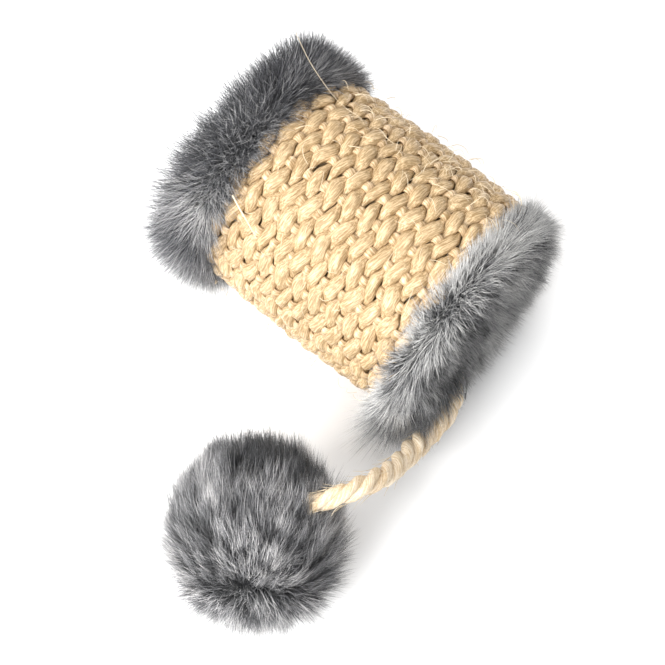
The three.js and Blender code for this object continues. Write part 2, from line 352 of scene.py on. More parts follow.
# The rope's middle line, as the solid rope runs, in millimetres from the middle of the tube's end
rope_route = [
    (0, -8.8, -16.2), (3.6, -12.3, -16.6), (6.6, -17.2, -16.7), (8.3, -23.1, -15.8),
    (8.5, -29.1, -13.9), (8.7, -35, -11.1), (9, -42.8, -5.6), (9.2, -48.1, -0.9),
    (8.7, -52.8, 3.6), (7.7, -56.7, 6.6), (6, -61.4, 8.6), (3.9, -65.4, 8.8), (1.4, -68.9, 7.5),
    (-0.4, -70.9, 5.9), (-1.5, -72.1, 4.6),
]
rope_diameter = 6.2
rope_lay = 19.5
seat_gap = 0.3
end_middle = np.array((tube_high[0] + seat_gap, barrel_axis[1], barrel_axis[2]))


def smooth_line(points, per_span):
    """The centripetal Catmull-Rom curve that the solid rope follows"""
    points = np.array(points, float)
    p = np.vstack([2 * points[0] - points[1], points, 2 * points[-1] - points[-2]])
    gaps = np.sqrt(np.linalg.norm(np.diff(p, axis=0), axis=1))
    line = []
    for i in range(1, len(p) - 2):
        before, span, after = gaps[i - 1 : i + 2]
        step = p[i + 1] - p[i]
        leaving = ((p[i] - p[i - 1]) / before - (p[i + 1] - p[i - 1]) / (before + span)) * span + step
        arriving = ((p[i + 2] - p[i + 1]) / after - (p[i + 2] - p[i]) / (span + after)) * span + step
        t = np.linspace(0, 1, per_span, endpoint=False)[:, None]
        line.append(
            p[i]
            + leaving * t
            + (3 * step - 2 * leaving - arriving) * t**2
            + (leaving + arriving - 2 * step) * t**3
        )
    return np.vstack([*line, points[-1:]])


rope_line = (smooth_line(rope_route, 8) + end_middle) * MM


def line_mesh(name, points):
    mesh = bpy.data.meshes.new(name)
    mesh.from_pydata([tuple(p) for p in points], [(i, i + 1) for i in range(len(points) - 1)], [])
    return mesh


# Lays strands side by side along a line and twists them. Each has yarns that show as low ridges.
ring_facets = 14
yarns_across = 1.6
yarn_twist = 0.55
yarn_change = 0.12
yarn_ridge = 0.8

laid_rope, given = new_tree("laid_rope", {
    "Strands": "Int", "Lay": "Float", "Offset": "Float", "Strand Radius": "Float", "Step": "Float",
    "Loosening": "Float", "Finish": "Material",
})
line = node(laid_rope, "GeometryNodeMeshToCurve", {0: given["Geometry"]})
line = node(laid_rope, "GeometryNodeResampleCurve", {"Curve": line, "Length": given["Step"]}, mode="LENGTH")
strands = node(
    laid_rope, "GeometryNodeDuplicateElements", {"Geometry": line, "Amount": given["Strands"]},
    domain="SPLINE",
)
which = Wire(strands.socket.node.outputs[1])
travelled = node(laid_rope, "GeometryNodeSplineParameter", out=1)
share_along = node(laid_rope, "GeometryNodeSplineParameter", out=0)
across = node(laid_rope, "GeometryNodeInputNormal")
ahead = node(laid_rope, "GeometryNodeInputTangent")
turn = math.tau * which / given["Strands"] - math.tau * travelled / given["Lay"]
slack = noise(joined(laid_rope, which * 3.7, travelled * 130.0, 0.0), 1.0, out=1) - (0.5, 0.5, 0.5)
slack, swelling, _ = parts(slack)
loosening = 1.0 + given["Loosening"] * (0.55 - share_along) + slack * 0.5
sideways = across * cosine(turn) + sum_of("CROSS_PRODUCT", ahead, across) * sine(turn)
strands = kept(strands, "travelled", travelled)
strands = kept(strands, "which", which)
strands = node(laid_rope, "GeometryNodeSetPosition", {
    "Geometry": strands, "Offset": sideways * (given["Offset"] * loosening),
})
ring = node(laid_rope, "GeometryNodeCurvePrimitiveCircle", {"Resolution": ring_facets, "Radius": 1.0})
ring_place = node(laid_rope, "GeometryNodeInputPosition")
ring = kept(ring, "section", ring_place)
strand_mesh = node(laid_rope, "GeometryNodeCurveToMesh", {
    "Curve": strands, "Profile Curve": ring, "Fill Caps": True,
    "Scale": given["Strand Radius"] * (1.0 + swelling * 0.5 + given["Loosening"] * (0.5 - share_along)),
})
section_x, section_y, _ = parts(recalled(laid_rope, "section", "FLOAT_VECTOR"))
run = recalled(laid_rope, "travelled") / MM
winding = run * yarn_twist
fibre = joined(
    laid_rope,
    (section_x * cosine(winding) - section_y * sine(winding)) * yarns_across,
    (section_x * sine(winding) + section_y * cosine(winding)) * yarns_across,
    run * yarn_change + recalled(laid_rope, "which") * 9.0,
)
ridge = noise(fibre, 1.1, 1.0) - 0.5
strand_mesh = kept(strand_mesh, "fibre", fibre)
# Painted shade in the dips between the yarns' ridges
strand_mesh = kept(strand_mesh, "furrow", ease(ridge, 0.0, -0.22) * 0.35)
outwards = node(laid_rope, "GeometryNodeInputNormal")
strand_mesh = node(laid_rope, "GeometryNodeSetPosition", {
    "Geometry": strand_mesh, "Offset": outwards * (ridge * (yarn_ridge * MM)),
})
close_tree(strand_mesh, given["Finish"])

rope_finish = sisal_finish(
    "sisal_rope", 3.6, 0.5 * MM,
    pale=(0.93, 0.82, 0.66, 1), straw=(0.62, 0.45, 0.24, 1), deep=(0.36, 0.2, 0.08, 1),
)
rope = made_by(laid_rope, "rope_strands", line_mesh("rope_line", rope_line), {
    "Strands": 3, "Lay": rope_lay * MM, "Step": 0.6 * MM, "Loosening": 0.38, "Finish": rope_finish,
    "Offset": 0.25 * rope_diameter * MM, "Strand Radius": 0.264 * rope_diameter * MM,
})
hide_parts("rope")
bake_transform(rope)


# Card tube, its two discs and the rope's knots. Plain brown board, rolled and glued. The tube holds
# everything up and the discs are pushed into its ends. The rope is knotted behind one disc and in the
# ball. All of it is hidden under the sisal and the fur.
card_finish, card_tree, card_shader = new_finish("card", 0.85)
card_place = node(card_tree, "ShaderNodeTexCoord", out="Object")
card_grain = noise(card_place * (1.0, 0.25, 1.0), 900.0, 4.0, 0.6)
card_cloud = noise(card_place, 120.0, 3.0, 0.6)
card_colour = mixed(card_grain * 0.5 + card_cloud * 0.5, (0.36, 0.24, 0.13, 1), (0.6, 0.44, 0.27, 1))
dress(card_tree, card_shader, card_colour, card_grain, 0.1 * MM)


def refinish(name, finish):
    """Gives a carried-over CAD node its procedural material"""
    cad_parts[name].data.materials.clear()
    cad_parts[name].data.materials.append(finish)


for name in ("core_tube", "plain_end_disc", "rope_end_disc"):
    refinish(name, card_finish)
knot_finish = sisal_finish("sisal_knot", 700.0, 0.25 * MM, coordinates="Object")
for name in ("rope_anchor_knot", "ball_knot"):
    refinish(name, knot_finish)


# Sisal mat. Thick, loosely spun wefts run round the barrel and float over every second warp, and the
# next weft floats over the warps between. The mat is glued on, its two edges butted underneath.
half_tube = 40
tube_radius = 30
plain_band_width = 10
rope_band_width = 5
mat_width = 2 * half_tube - plain_band_width - rope_band_width
mat_offset = (plain_band_width - rope_band_width) / 2
mat_inner_radius = tube_radius + seat_gap
mat_seam_gap = 0.8
mat_crown = 0.9
weft_rows = 22
weft_pitch = mat_width / weft_rows
floats_round = 15
stations_per_float = 16
weft_sides = 18
# A weft's half width and half height at its middle, how much each swells on a float, how high its
# middle lies where it dips, how far a float lifts it, and how far it slips to the side, in millimetres
weft_half_width, weft_half_height = 1.6, 0.95
float_width, float_height = 0.52, 0.55
weft_dip, float_lift = 1.05, 1.15
weft_slip = 0.5
middle_of_mat_radius = 33.5
weld_distance = 0.004

weave_inputs = {
    "Rows": "Int", "Pitch": "Float", "Floats": "Int", "Inner Radius": "Float", "Crown": "Float",
    "Seam Angle": "Float", "Middle": "Vector", "Finish": "Material",
}
weave_values = {
    "Rows": weft_rows, "Pitch": weft_pitch * MM, "Floats": floats_round,
    "Inner Radius": mat_inner_radius * MM, "Crown": mat_crown * MM,
    "Seam Angle": mat_seam_gap / mat_inner_radius,
    "Middle": tuple((barrel_axis + (mat_offset, 0, 0)) * MM),
}


def strips(count, first, stations, sides):
    """Numbered strips of faces. Returns them, the places along and around each, and its number."""
    tree = count.tree
    strip = node(tree, "GeometryNodeMeshGrid", {
        "Size X": 1.0, "Size Y": 1.0, "Vertices X": stations + 1, "Vertices Y": sides + 1,
    })
    strip = kept(strip, "cell", node(tree, "GeometryNodeInputPosition") + (0.5, 0.5, 0.0))
    rows = node(tree, "GeometryNodeMeshLine", {"Count": count, "Offset": (1, 0, 0)})
    rows = kept(rows, "row", node(tree, "GeometryNodeInputIndex") + first)
    mat = node(tree, "GeometryNodeInstanceOnPoints", {"Points": rows, "Instance": strip})
    mat = node(tree, "GeometryNodeRealizeInstances", {0: mat})
    along, around, _ = parts(recalled(tree, "cell", "FLOAT_VECTOR"))
    return mat, along, around, recalled(tree, "row")


def dice_along(along_row, row, seed):
    """Three random values about zero that change slowly along a strip"""
    places = noise(joined(row.tree, row, along_row, seed), 1.0, 1.0, out=1)
    return parts(places - (0.5, 0.5, 0.5))


def woven(given, mat, x, radius, theta, fibre, furrow):
    """Puts the strips in their places round the barrel, and closes each into a solid strand"""
    tree = mat.tree
    mat = placed(mat, given["Middle"] + joined(tree, x, radius * cosine(theta), radius * sine(theta)) * MM)
    mat = kept(kept(mat, "fibre", fibre), "furrow", furrow)
    mat = node(tree, "GeometryNodeMergeByDistance", {"Geometry": mat, "Distance": weld_distance * MM})
    close_tree(mat, given["Finish"])


woven_wefts, given = new_tree("woven_wefts", weave_inputs)
mat, along, around, row = strips(given["Rows"], 0.0, floats_round * stations_per_float, weft_sides)
turns = along * given["Floats"]
phase = turns * math.tau + row * math.pi
odd_row = cosine(row * math.pi)
chance_width, chance_place, chance_height = dice_along(turns * 0.85, row * 5.31, 2.0)
crest = ease(cosine(phase), -1.0, 0.9)
swell = cosine(phase + 0.2)
fullness = swell * (2.1 - 1.1 * sum_of("ABSOLUTE", swell))
half_width = (weft_half_width + float_width * fullness) * (1.0 + 1.25 * chance_width)
half_height = weft_half_height + float_height * crest + 0.5 * chance_height
centre_radius = given["Inner Radius"] / MM + weft_dip + float_lift * crest + 1.3 * chance_height
offset = given["Pitch"] / MM * (row - (given["Rows"] - 1.0) * 0.5)
share_across = offset / (given["Pitch"] / MM * given["Rows"] * 0.5)
centre_radius = centre_radius + given["Crown"] / MM * (1.0 - share_across * share_across)
offset = offset + sine(phase) * odd_row * weft_slip + chance_place * 1.6
tip = ease(along, 0.0, 0.003) * ease(along, 1.0, 0.997)
angle = around * math.tau
theta = along * (math.tau - given["Seam Angle"]) + given["Seam Angle"] * 0.5 - math.pi / 2
run = theta * middle_of_mat_radius
winding = angle + run * 0.09
fibre = joined(
    woven_wefts, cosine(winding) * half_width, sine(winding) * half_width, run * 0.13 + row * 7.7,
)
ridge = noise(fibre, 0.75, 1.0) - 0.5
bulge = 1.0 + ridge * 0.55
x = offset + (0.0 - cosine(angle)) * half_width * bulge * tip
radius = centre_radius + sine(angle) * half_height * bulge * tip
# Painted shade: the weft is darker where it lies low in the hollows between floats, and in the dips of its
# ridges
hollow_painted_shade = ease(radius - given["Inner Radius"] / MM, 2.9, 1.2)
furrow = at_most(hollow_painted_shade + ease(ridge, 0.0, -0.25) * 0.25, 1.0)
woven(given, mat, x, radius, theta, fibre, furrow)

weft_finish = sisal_finish("sisal_weft", 2.8, 0.4 * MM)
sisal_wefts = made_by(woven_wefts, "sisal_wefts", bpy.data.meshes.new("mat"), {
    **weave_values, "Finish": weft_finish,
})
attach(sisal_wefts, "barrel")
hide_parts("sisal_sleeve")


# Warps. They run along the barrel under and over the wefts, thinner and straighter than these. They
# show as small bright patches between the floats.
warp_sides = 8
warp_stations = 6
warp_half_width, warp_half_height = 1.6, 0.75
warp_level, warp_lift = 1.5, 1.1
warp_radius = 33.0

woven_warps, given = new_tree("woven_warps", weave_inputs)
mat, along, around, row = strips(
    given["Floats"] * 2.0 - 1.0, 1.0, weft_rows * warp_stations, warp_sides,
)
over = 0.0 - cosine((along * given["Rows"] - 0.5) * math.pi + row * math.pi)
chance_width, chance_place, chance_height = dice_along(along * 9.0, row * 3.3, 7.0)
share_across = along * 2.0 - 1.0
tip = ease(along, 0.0, 0.004) * ease(along, 1.0, 0.996)
x = (along - 0.5) * given["Rows"] * given["Pitch"] / MM
angle = around * math.tau
half_width = (warp_half_width + 0.9 * chance_width) * tip
radius = (
    given["Inner Radius"] / MM + warp_level + warp_lift * over + 0.8 * chance_height
    + given["Crown"] / MM * (1.0 - share_across * share_across)
    + sine(angle) * (warp_half_height * tip)
)
theta = (
    row / (given["Floats"] * 2.0) * (math.tau - given["Seam Angle"]) + given["Seam Angle"] * 0.5
    - math.pi / 2 + (chance_place + cosine(angle) * half_width) / warp_radius
)
winding = angle + x * 0.2
fibre = joined(woven_warps, cosine(winding) * 1.3, sine(winding) * 1.3, x * 0.12 + row * 5.9)
# The warp is painted darker where it dips under the wefts, as painted shade
woven(given, mat, x, radius, theta, fibre, ease(over, 0.5, -0.6) * 0.9)

warp_finish = sisal_finish("sisal_warp", 2.6, 0.25 * MM, pale=(0.7, 0.52, 0.33, 1))
sisal_warps = made_by(woven_warps, "sisal_warps", bpy.data.meshes.new("mat"), {
    **weave_values, "Finish": warp_finish,
})
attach(sisal_warps, "barrel")


# Loose ends of fibre that stand out of the mat. Each bows up off the weave and comes down again. Two
# lie by the rope end's fur, one is a flat straw by the plain end's, and one is a long hair over it.
loose_sides = 5
loose_thinning = 0.6
loose_fibres, given = new_tree("loose_fibres", {"Finish": "Material"})
line = node(loose_fibres, "GeometryNodeMeshToCurve", {0: given["Geometry"]})
thinning = node(loose_fibres, "GeometryNodeSplineParameter", out=0)
ring = node(loose_fibres, "GeometryNodeCurvePrimitiveCircle", {"Resolution": loose_sides, "Radius": 1.0})
fibre_mesh = node(loose_fibres, "GeometryNodeCurveToMesh", {
    "Curve": line, "Profile Curve": ring, "Fill Caps": True,
    "Scale": recalled(loose_fibres, "thickness") * (1.0 - loose_thinning * thinning * thinning),
})
close_tree(fibre_mesh, given["Finish"])


def on_barrel(x, angle, radius):
    """The point at a place along the barrel, an angle round it in degrees and a radius"""
    turned = math.radians(angle)
    return barrel_axis + (x, radius * math.cos(turned), radius * math.sin(turned))


def fibres_mesh(name, fibres):
    """Smooth lines through points in millimetres, each with its thickness"""
    verts, edges, thickness = [], [], []
    for points, thick in fibres:
        line = smooth_line(points, 5) * MM
        edges += [(len(verts) + i, len(verts) + i + 1) for i in range(len(line) - 1)]
        verts += [tuple(point) for point in line]
        thickness += [thick * MM] * len(line)
    mesh = bpy.data.meshes.new(name)
    mesh.from_pydata(verts, edges, [])
    mesh.attributes.new("thickness", "FLOAT", "POINT").data.foreach_set("value", thickness)
    return mesh


# The four that stand out: points as place along, angle round and radius, then thickness
strand_by_rope_end = [(32.6, 46.1, 37.5), (32.8, 50.0, 39), (31.8, 52.1, 39.5), (30.5, 51.6, 39)], 0.14
strand_over_rope_end = [(28.7, 49.0, 38), (31.6, 50.6, 39.5), (33.9, 52.8, 39.5), (35.4, 55.2, 39)], 0.14
straw = [(-25.8, 128, 38.6), (-22, 131, 38.3), (-18, 134, 38), (-14.2, 137.3, 37.8)], 0.26
long_hair = (
    [(-43.5, 57.2, 42.5), (-33, 66.2, 42), (-25.2, 69.4, 40.5), (-20.2, 69.9, 39), (-15.4, 69.3, 38)], 0.07
)
weave_top = 35.6
loose_count = 130
bow_shares = (0, 0.35, 0.7, 1)

rng = np.random.default_rng(41)
loose_ends = [strand_by_rope_end, strand_over_rope_end, straw, long_hair]
for i in range(loose_count):
    x, a = rng.uniform(-26, 34), rng.uniform(20, 200) if i % 3 else rng.uniform(45, 75)
    heading, reach, lift = rng.uniform(0, math.tau), rng.uniform(2.5, 6), rng.uniform(0.6, 2.2)
    swing = rng.uniform(-0.7, 0.7)
    points = []
    for share in bow_shares:
        way = heading + swing * share
        points.append((
            x + reach * share * math.cos(way),
            a + math.degrees(reach * share * math.sin(way) / weave_top),
            weave_top + lift * math.sin(math.pi * share * 0.8),
        ))
    loose_ends.append((points, rng.uniform(0.05, 0.11)))
loose_finish = sisal_finish(
    "sisal_loose", 2.0, 0.1 * MM, pale=(0.85, 0.75, 0.58, 1), straw=(0.62, 0.48, 0.28, 1),
)
sisal_ends = made_by(loose_fibres, "sisal_loose_ends", fibres_mesh("loose_ends", [
    ([on_barrel(*point) for point in points], thick) for points, thick in loose_ends
]), {"Finish": loose_finish})
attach(sisal_ends, "barrel")


# Fibres that have worked loose from the rope. They lie close along its free stretch, and their far
# ends stand off it a little.
rope_points = rope_line / MM
rope_surface = 2.9
rope_fibre_count = 70
look_ahead = 6
rope_ends = []
for _ in range(rope_fibre_count):
    i = rng.integers(22, len(rope_points) - 2 * look_ahead)
    ahead = rope_points[i + look_ahead] - rope_points[i]
    ahead /= np.linalg.norm(ahead)
    outward = np.cross(ahead, rng.normal(size=3))
    outward /= np.linalg.norm(outward)
    reach, lift = rng.uniform(3, 8), rng.uniform(0.3, 2.2)
    side = np.cross(ahead, outward) * rng.uniform(-1.5, 1.5)
    rope_ends.append(([
        rope_points[i] + ahead * reach * share + side * share + outward * (rope_surface + lift * share**2)
        for share in bow_shares
    ], rng.uniform(0.05, 0.1)))
rope_fibres = made_by(loose_fibres, "rope_loose_ends", fibres_mesh("rope_ends", rope_ends), {
    "Finish": loose_finish,
})
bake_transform(rope_fibres)


# Fur bands round the tube's ends. Strips of grey fur cloth, 10 mm wide at the plain end and 5 mm at
# the rope end, glued round the tube. The pile leans over the sisal's edge and out over the end.
least_pile = 0.05
hair_sides = 3
hair_swell = 0.8
most_drop = 0.62
fur_pile, given = new_tree("fur_pile", {
    "Density": "Float", "Length": "Float", "Thickness": "Float", "Spread": "Float",
    "Tuft Size": "Float", "Tuft Pull": "Float", "Tuft Lean": "Float", "Curl": "Float",
    "Tone": "Float", "Seed": "Int", "Rope Line": "Object", "Rope Clearance": "Float",
    "Cloth Shown": "Bool", "Finish": "Material",
})
cloth = given["Geometry"]
place = node(fur_pile, "GeometryNodeInputPosition")
pile_share = recalled(fur_pile, "pile")
furred = node(fur_pile, "FunctionNodeCompare", {0: pile_share, 1: least_pile}, operation="GREATER_THAN")
points = node(fur_pile, "GeometryNodeDistributePointsOnFaces", {
    "Mesh": cloth, "Selection": furred, "Density": given["Density"] * recalled(fur_pile, "crowd"),
    "Seed": given["Seed"],
})
tufts = node(fur_pile, "GeometryNodeDistributePointsOnFaces", {
    "Mesh": cloth, "Selection": furred,
    "Density": 1.0 / (given["Tuft Size"] * given["Tuft Size"]), "Seed": given["Seed"] + 1.0,
})
nearest = node(fur_pile, "GeometryNodeSampleNearest", {"Geometry": tufts, "Sample Position": place})
tuft_place = node(fur_pile, "GeometryNodeSampleIndex", {
    "Geometry": tufts, "Value": place, "Index": nearest,
}, data_type="FLOAT_VECTOR")


def dice(low, high, seed, identity=None):
    """A random number, or a random vector where low is one"""
    vector = is_vector(low)
    feeds = {0 if vector else 2: low, 1 if vector else 3: high, 8: seed}
    if identity:
        feeds[7] = identity
    kind = "FLOAT_VECTOR" if vector else "FLOAT"
    return node(seed.tree, "FunctionNodeRandomValue", feeds, out=0 if vector else 1, data_type=kind)


all_ways = (-1.0, -1.0, -1.0), (1.0, 1.0, 1.0)
own_way = dice(*all_ways, given["Seed"] + 2.0)
tuft_way = dice(*all_ways, given["Seed"] + 3.0, nearest)
long = given["Length"] * pile_share * dice(0.72, 1.12, given["Seed"] + 4.0)
long = long * dice(0.86, 1.12, given["Seed"] + 5.0, nearest)
grow = unit(unit(recalled(fur_pile, "grow", "FLOAT_VECTOR")) + own_way * given["Spread"])
lean = recalled(fur_pile, "lean", "FLOAT_VECTOR") + tuft_way * given["Tuft Lean"]
bend = lean * long + (tuft_place - place) * given["Tuft Pull"]
for key, value in {
    "root": place,
    "tone": dice(0.0, 1.0, given["Seed"] + 6.0) + given["Tone"],
    "tuft_tone": dice(0.0, 1.0, given["Seed"] + 7.0, nearest),
    "own_length": long,
    "bend": bend,
    "own_grow": grow,
}.items():
    points = kept(points, key, value)
hair = node(fur_pile, "GeometryNodeMeshCone", {
    "Vertices": hair_sides, "Side Segments": 2, "Radius Top": 0.0, "Radius Bottom": 1.0, "Depth": 1.0,
})
hair_x, hair_y, hair_z = parts(place)
hair = kept(hair, "along", hair_z)
fullness = 1.0 + hair_z * hair_swell
hair = placed(hair, joined(fur_pile, hair_x * fullness, hair_y * fullness, hair_z))
own_grow = recalled(fur_pile, "own_grow", "FLOAT_VECTOR")
upright = node(fur_pile, "FunctionNodeAlignRotationToVector", {"Vector": own_grow}, axis="Z")
own_length = recalled(fur_pile, "own_length")
pile = node(fur_pile, "GeometryNodeInstanceOnPoints", {
    "Points": points, "Instance": hair, "Rotation": upright,
    "Scale": joined(fur_pile, given["Thickness"], given["Thickness"], own_length),
})
pile = node(fur_pile, "GeometryNodeRealizeInstances", {0: pile})
along = recalled(fur_pile, "along")
bend = recalled(fur_pile, "bend", "FLOAT_VECTOR")
bend_length = node(fur_pile, "ShaderNodeVectorMath", {0: bend}, out=1, operation="LENGTH")
drop = at_most(bend_length * bend_length / (own_length * 2.0), own_length * most_drop)
root = recalled(fur_pile, "root", "FLOAT_VECTOR")
own_tone = recalled(fur_pile, "tone")
wriggle = noise(root * 700.0 + joined(fur_pile, along * 2.4, own_tone * 6.0, 0.0), 1.0, 1.0, out=1)
wriggle = (wriggle - (0.5, 0.5, 0.5)) * (given["Curl"] * along)
moved = place + bend * along ** 1.4 - own_grow * (drop * along ** 1.8) + wriggle
# No hair enters the rope or the floor
rope_shape = node(
    fur_pile, "GeometryNodeObjectInfo", {0: given["Rope Line"]}, out=4, transform_space="ORIGINAL",
)
on_rope = node(
    fur_pile, "GeometryNodeProximity", {"Geometry": rope_shape, "Sample Position": moved},
    target_element="EDGES",
)
push = at_least(given["Rope Clearance"] - Wire(on_rope.socket.node.outputs["Distance"]), 0.0)
moved = moved + unit(moved - on_rope) * push
floor_height = 0.25 * MM + own_tone * (0.5 * MM)
moved_x, moved_y, moved_z = parts(moved)
pile = placed(pile, joined(fur_pile, moved_x, moved_y, at_least(moved_z, floor_height)))
backing = kept(cloth, "root", place)
backing = node(
    fur_pile, "GeometryNodeSwitch", {"Switch": given["Cloth Shown"], "True": backing},
    input_type="GEOMETRY",
)
both = node(fur_pile, "GeometryNodeJoinGeometry", {0: pile})
fur_pile.links.new(backing.socket, both.socket.node.inputs[0])
close_tree(both, given["Finish"])

# Fur's look: dark roots, paler tips, tufts and patches that differ, and the painted light and shade that the
# cloth carries
fur_tones, given = new_group(
    "fur_tones", "ShaderNodeTree",
    {"Root": "Color", "Middle": "Color", "Tip": "Color", "Patch Size": "Float", "Shift": "Float"},
    {"Color": "Color"},
)
where = attribute(fur_tones, "root")
along = attribute(fur_tones, "along", "Fac")
patches = noise(where, 1.0 / given["Patch Size"], 3.0, 0.6)
mottle = noise(where, 4.5 / given["Patch Size"], 2.0, 0.6)
level = (
    along * 1.05 - 0.22
    + (patches - 0.5) * 2.2
    + (mottle - 0.5) * 1.7
    + (attribute(fur_tones, "tuft_tone", "Fac") - 0.5) * 0.5
    + (attribute(fur_tones, "tone", "Fac") - 0.5) * 1.1
    + attribute(fur_tones, "painted_shade", "Fac")
    + given["Shift"]
)
low = ease(level, -0.05, 0.5)
high = ease(level, 0.45, 1.15)
close_group(fur_tones, {
    "Color": mixed(high, mixed(low, given["Root"], given["Middle"]), given["Tip"]),
})


def fur_finish(name, root, middle, tip, patch_size, shift):
    finish, tree, shader = new_finish(name, 0.62, Sheen_Weight=0.25, Sheen_Roughness=0.5)
    look = use_group(tree, fur_tones, {
        "Root": root, "Middle": middle, "Tip": tip, "Patch Size": patch_size, "Shift": shift,
    })
    dress(tree, shader, look["Color"])
    return finish


cloth_thickness = 1.2
end_face = half_tube + seat_gap
# The pile parts at an angle round the barrel, in radians, and is brushed down both sides from there
whorl_angle = math.radians(107)
# Where the rope comes out of the fur, across and up from the barrel's axis. Round it the pile is
# longer and denser, and is brushed over the rope. Its spread is in millimetres.
rope_outlet = np.array((0, -21, -11))
rope_cover = np.array((0.3, -1.1, 0.1))
cover_spread = 9
cover_extra_length = 1.0
cover_extra_crowd = 1.5
near_extra_length = 0.25


def keep_pile(mesh, grow, lean, pile, painted_shade, crowd):
    """Stores what the pile needs on a cloth's points: its directions, length, painted light and shade, and
    density
    """
    for key, values in (("grow", grow), ("lean", lean)):
        layer = mesh.attributes.new(key, "FLOAT_VECTOR", "POINT")
        layer.data.foreach_set("vector", np.array(values, np.float32).ravel())
    for key, values in (("pile", pile), ("painted_shade", painted_shade), ("crowd", crowd)):
        layer = mesh.attributes.new(key, "FLOAT", "POINT")
        layer.data.foreach_set("value", np.array(values, np.float32))


def turned_cloth(name, profile, facets, end, far_painted_shade, painted_shading_spots):
    """Fur cloth turned round the barrel's axis from a profile of cloth rows. The end is 1 or -1, and
    the far side is painted paler or darker than the near side, as painted light and shade. Each spot of
    painted light and shade is a place along, an angle round in degrees, a spread and a shade."""
    verts, faces, grow, lean, pile, painted_shade, crowd = [], [], [], [], [], [], []
    for j in range(facets):
        angle = math.tau * j / facets
        outwards = np.array((0, math.cos(angle), math.sin(angle)))
        sidewards = np.array((0, -math.sin(angle), math.cos(angle)))
        away = math.sin(angle - whorl_angle)
        for x, radius, way_x, way_out, share, lean_x, parted, combed, own_painted_shade, own_crowd in profile:
            verts.append(barrel_axis + outwards * radius + np.array((end * x, 0, 0)))
            grow.append(outwards * way_out + np.array((end * way_x, 0, 0)))
            past_rope = np.linalg.norm(outwards * radius - rope_outlet) if end > 0 else math.inf
            over_rope = math.exp(-((past_rope / cover_spread) ** 2))
            own_lean = sidewards * (away * parted - combed) + np.array((end * lean_x, 0, 0))
            lean.append(own_lean + over_rope * rope_cover)
            near_reach = near_extra_length * max(0, -math.cos(angle)) * min(1.2, 1 - 2 * end * way_x)
            pile.append(share * (1 + cover_extra_length * over_rope + near_reach))
            crowd.append(own_crowd * (1 + cover_extra_crowd * over_rope))
            # Spots of painted light and shade, then the far side painted paler or darker
            for spot_x, spot_angle, spread, depth in painted_shading_spots:
                off_angle = (angle - math.radians(spot_angle) + math.pi) % math.tau - math.pi
                apart = (x - spot_x) ** 2 + (radius * off_angle) ** 2
                own_painted_shade += depth * math.exp(-apart / spread**2)
            painted_shade.append(own_painted_shade + far_painted_shade * math.cos(angle))
    count = len(profile)
    for j in range(facets):
        for i in range(count):
            a, b = j * count + i, j * count + (i + 1) % count
            c, d = (a + count) % len(verts), (b + count) % len(verts)
            faces.append((a, b, d, c) if end > 0 else (a, c, d, b))
    mesh = bpy.data.meshes.new(name)
    mesh.from_pydata([tuple(v * MM) for v in verts], [], faces)
    keep_pile(mesh, grow, lean, pile, painted_shade, crowd)
    return mesh


def cloth_row(x, radius, way=(0, 1), share=0, lean=0, parted=0, combed=0, painted_shade=0, crowd=1):
    """A row of a cloth's profile: its place along the barrel and radius, the pile's direction along and
    outwards, its share of the full length, how far it leans along the barrel, is brushed down both
    sides from the whorl, and up and over, its painted light and shade, and its density"""
    return x, radius, *way, share, lean, parted, combed, painted_shade, crowd


def band_profile(mat_edge, sweep, rim_painted_shade, rim_share):
    """The band's section from the mat's edge round to it again, in millimetres along the barrel. Its rim rows
    carry a painted shade, and the rows by the mat a little painted light.
    """
    width = end_face - mat_edge
    inside, outside = mat_inner_radius, mat_inner_radius + cloth_thickness
    return [
        cloth_row(mat_edge + seat_gap, inside),
        cloth_row(end_face, inside),
        cloth_row(end_face + 1.0, inside + 0.1, (0.8, 0.6)),
        cloth_row(end_face + 0.9, inside + 0.6, (0.75, 0.66), rim_share, 0.1, sweep, 0, rim_painted_shade),
        cloth_row(end_face + 0.4, inside + 1.1, (0.55, 0.83), rim_share, 0.1, sweep, 0, rim_painted_shade),
        cloth_row(end_face - 1.5, outside, (0.25, 0.97), 1, 0.05, sweep, 0, rim_painted_shade * 0.8),
        cloth_row(end_face - width * 0.45, outside, (0, 1), 1, -0.1, sweep * 0.6, sweep * 0.2),
        cloth_row(mat_edge + width * 0.3, outside, (-0.2, 0.98), 1, -0.2, 0, sweep * 0.4, 0.05, 1.1),
        cloth_row(mat_edge + 1.2, outside, (-0.4, 0.92), 0.75, -0.2, 0, sweep * 0.4, 0.05, 2.2),
        cloth_row(mat_edge + seat_gap, outside - 0.1, (-0.7, 0.7), 0.5, -0.1, 0, sweep * 0.4, 0, 3.5),
    ]


rope_line_object = bpy.data.objects.new("rope_line", line_mesh("rope_line", rope_line))
# Hairs on a square metre, and how near they come to the rope's middle, in millimetres
whole_density = 6.6e6
long_density = whole_density * 0.8
cap_density = 5.2e6
rope_clearance = 4.4


def grown(name, mesh, finish, slot, body, values, stands_for=()):
    """Grows pile on a cloth, in one piece that rides on a body"""
    piece = made_by(fur_pile, name, mesh, {
        "Rope Line": rope_line_object,
        "Rope Clearance": rope_clearance * MM,
        "Thickness": 0.07 * MM,
        "Spread": 0.4,
        "Tuft Size": 2.2 * MM,
        "Tuft Pull": 0.6,
        "Tuft Lean": 0.22,
        "Curl": 1.8 * MM,
        "Tone": -0.15,
        "Cloth Shown": True,
        "Finish": finish,
        **values,
    })
    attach(piece, body)
    if stands_for:
        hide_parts(*stands_for)
    return piece


